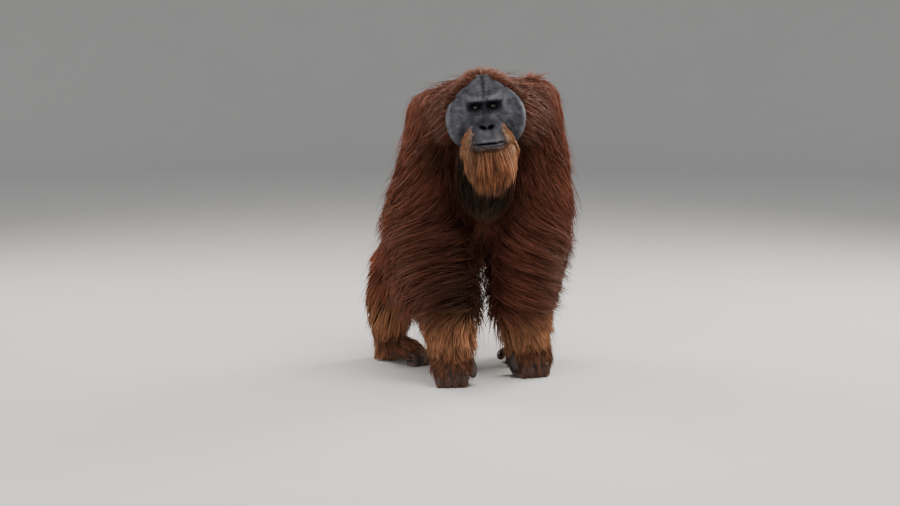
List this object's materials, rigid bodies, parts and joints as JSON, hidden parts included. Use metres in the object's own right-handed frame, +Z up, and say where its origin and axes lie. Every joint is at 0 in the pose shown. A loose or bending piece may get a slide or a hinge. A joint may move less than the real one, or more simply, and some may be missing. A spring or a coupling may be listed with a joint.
{
  "type": "orangutan",
  "caption": "Life-size standing male orangutan with wide cheek pads, a hanging beard and a long shaggy coat, on its fists and curled feet.",
  "frame": {"origin": "on the floor, under the middle of the box that holds the animal", "axes": "+Z up; the animal faces -Y; its left side is +X"},
  "size_m": [0.6958, 1.0116, 1.004],
  "materials": {
    "coat": "long coarse rust-brown hair",
    "coat_light": "short rust-orange hair over dark skin",
    "beard": "straight orange-tan hair",
    "face": "bare dark blue-grey skin, finely creased",
    "eye": "wet dark brown"
  },
  "bodies": {
    "root": {"head": "face", "jaw": "beard", "cheek_pad_r": "face", "cheek_pad_l": "face", "eye_r": "eye", "eye_l": "eye", "ear_r": "face", "ear_l": "face", "neck": "coat", "throat": "coat", "chest": "coat", "hips": "coat", "upper_arm_r": "coat", "forearm_r": "coat", "hand_r": "coat_light", "upper_arm_l": "coat", "forearm_l": "coat", "hand_l": "coat_light", "thigh_r": "coat", "shin_r": "coat", "foot_r": "coat_light", "thigh_l": "coat", "shin_l": "coat", "foot_l": "coat_light"}
  },
  "joints": []
}
